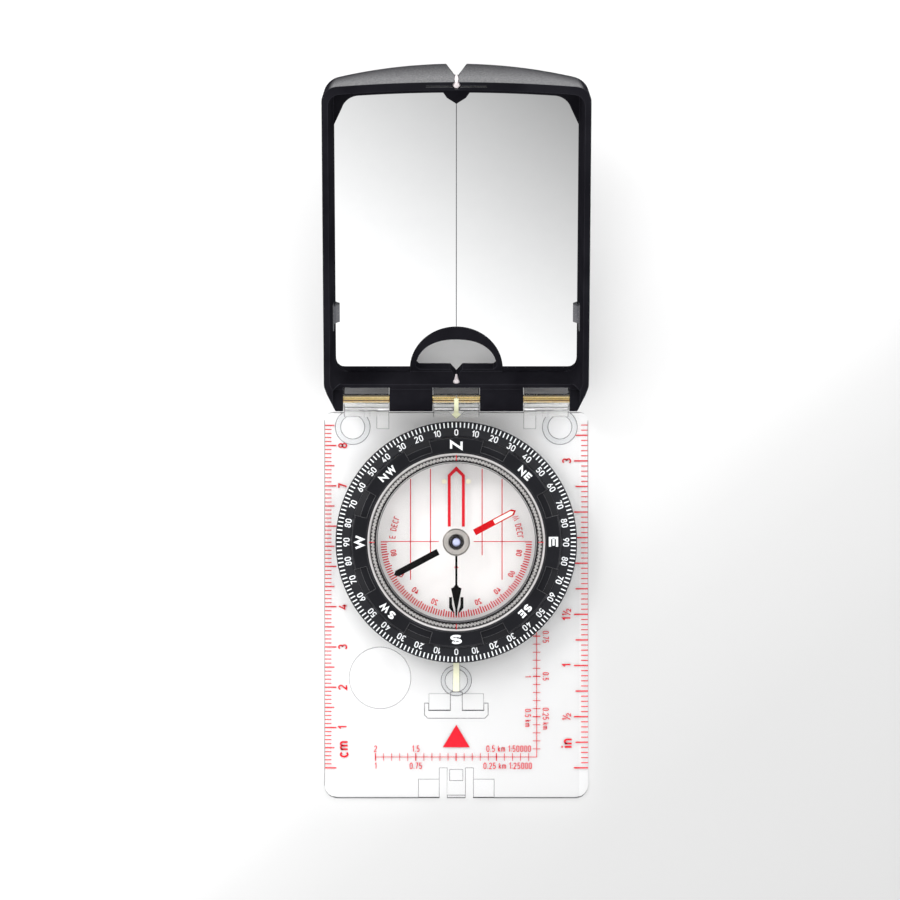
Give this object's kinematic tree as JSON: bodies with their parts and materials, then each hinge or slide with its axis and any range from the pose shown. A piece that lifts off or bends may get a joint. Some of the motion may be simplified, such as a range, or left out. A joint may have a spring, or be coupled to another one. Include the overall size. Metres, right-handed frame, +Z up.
{
  "type": "mirror sighting baseplate compass",
  "caption": "Clear baseplate compass with a turning graduated bezel, an adjustable liquid capsule with needle and clinometer, and a hinged mirror lid with sights.",
  "frame": {"origin": "under the middle of the compass with its lid open as at rest, on the surface that the rubber feet stand on", "axes": "+X to the right across the baseplate, +Y from the baseplate's front edge towards the hinge and lid, +Z up"},
  "size_m": [0.0654, 0.1801, 0.0509],
  "materials": {
    "clear_plate": "clear gloss",
    "clear_disc": "clear gloss",
    "clear_capsule": "clear gloss",
    "clear_rubber": "clear soft",
    "luminous": "matte",
    "bezel_black": "satin",
    "lid_black": "fine textured",
    "gear_plastic": "satin",
    "brass": "polished",
    "pivot_steel": "polished",
    "magnet": "satin",
    "needle_plastic": "clear gloss with printed halves",
    "jewel_holder": "gloss",
    "jewel_stone": "polished",
    "clinometer_black": "matte",
    "mirror_glass": "mirror",
    "pad_foam": "matte",
    "clip_grey": "translucent smoke",
    "bead_white": "satin"
  },
  "bodies": {
    "base": {"baseplate": "clear_plate", "foot_left": "clear_rubber", "foot_right": "clear_rubber", "foot_front": "clear_rubber", "index_strip_front": "luminous", "index_strip_rear": "luminous"},
    "bezel": {"bezel_ring": "bezel_black", "cardinal_ring": "bezel_black", "scale_disc": "clear_disc"},
    "declination_screw": {"declination_screw": "brass"},
    "capsule": {"declination_gear": "gear_plastic", "capsule_cup": "clear_capsule", "capsule_cover": "clear_capsule", "pivot_pin": "pivot_steel", "clinometer_bush": "brass"},
    "needle": {"needle_blade": "needle_plastic", "needle_magnet": "magnet", "jewel_holder": "jewel_holder", "jewel": "jewel_stone"},
    "clinometer": {"clinometer_arrow": "clinometer_black"},
    "lid": {"lid_shell": "lid_black", "mirror": "mirror_glass", "mirror_pad": "pad_foam", "mirror_clip_left": "clip_grey", "mirror_clip_right": "clip_grey", "sight_bead_front": "bead_white", "sight_bead_rear": "bead_white", "hinge_pin_left": "brass", "hinge_pin_right": "brass"}
  },
  "joints": [
    {"name": "lid_hinge", "type": "hinge", "parent": "base", "child": "lid", "pos_m": [0, 0.00904, 0.01], "axis": [1, 0, 0], "range_deg": [-25, 155]},
    {"name": "bezel_turn", "type": "hinge", "parent": "base", "child": "bezel", "pos_m": [0, -0.02646, 0.005], "axis": [0, 0, 1], "continuous": true},
    {"name": "declination_turn", "type": "hinge", "parent": "bezel", "child": "capsule", "pos_m": [0, -0.02646, 0.005], "axis": [0, 0, 1], "range_deg": [-90, 90]},
    {"name": "declination_screw_turn", "type": "hinge", "parent": "bezel", "child": "declination_screw", "pos_m": [-0.01591, -0.04237, 0.002], "axis": [0, 0, 1], "range_deg": [-1260, 1260]},
    {"name": "needle_turn", "type": "hinge", "parent": "capsule", "child": "needle", "pos_m": [0, -0.02646, 0.0055], "axis": [0, 0, 1], "continuous": true},
    {"name": "clinometer_turn", "type": "hinge", "parent": "capsule", "child": "clinometer", "pos_m": [0, -0.02646, 0.0043], "axis": [0, 0, 1], "continuous": true}
  ],
  "couplings": [
    {"joint": "declination_screw_turn", "follows": "declination_turn", "ratio": -14}
  ]
}
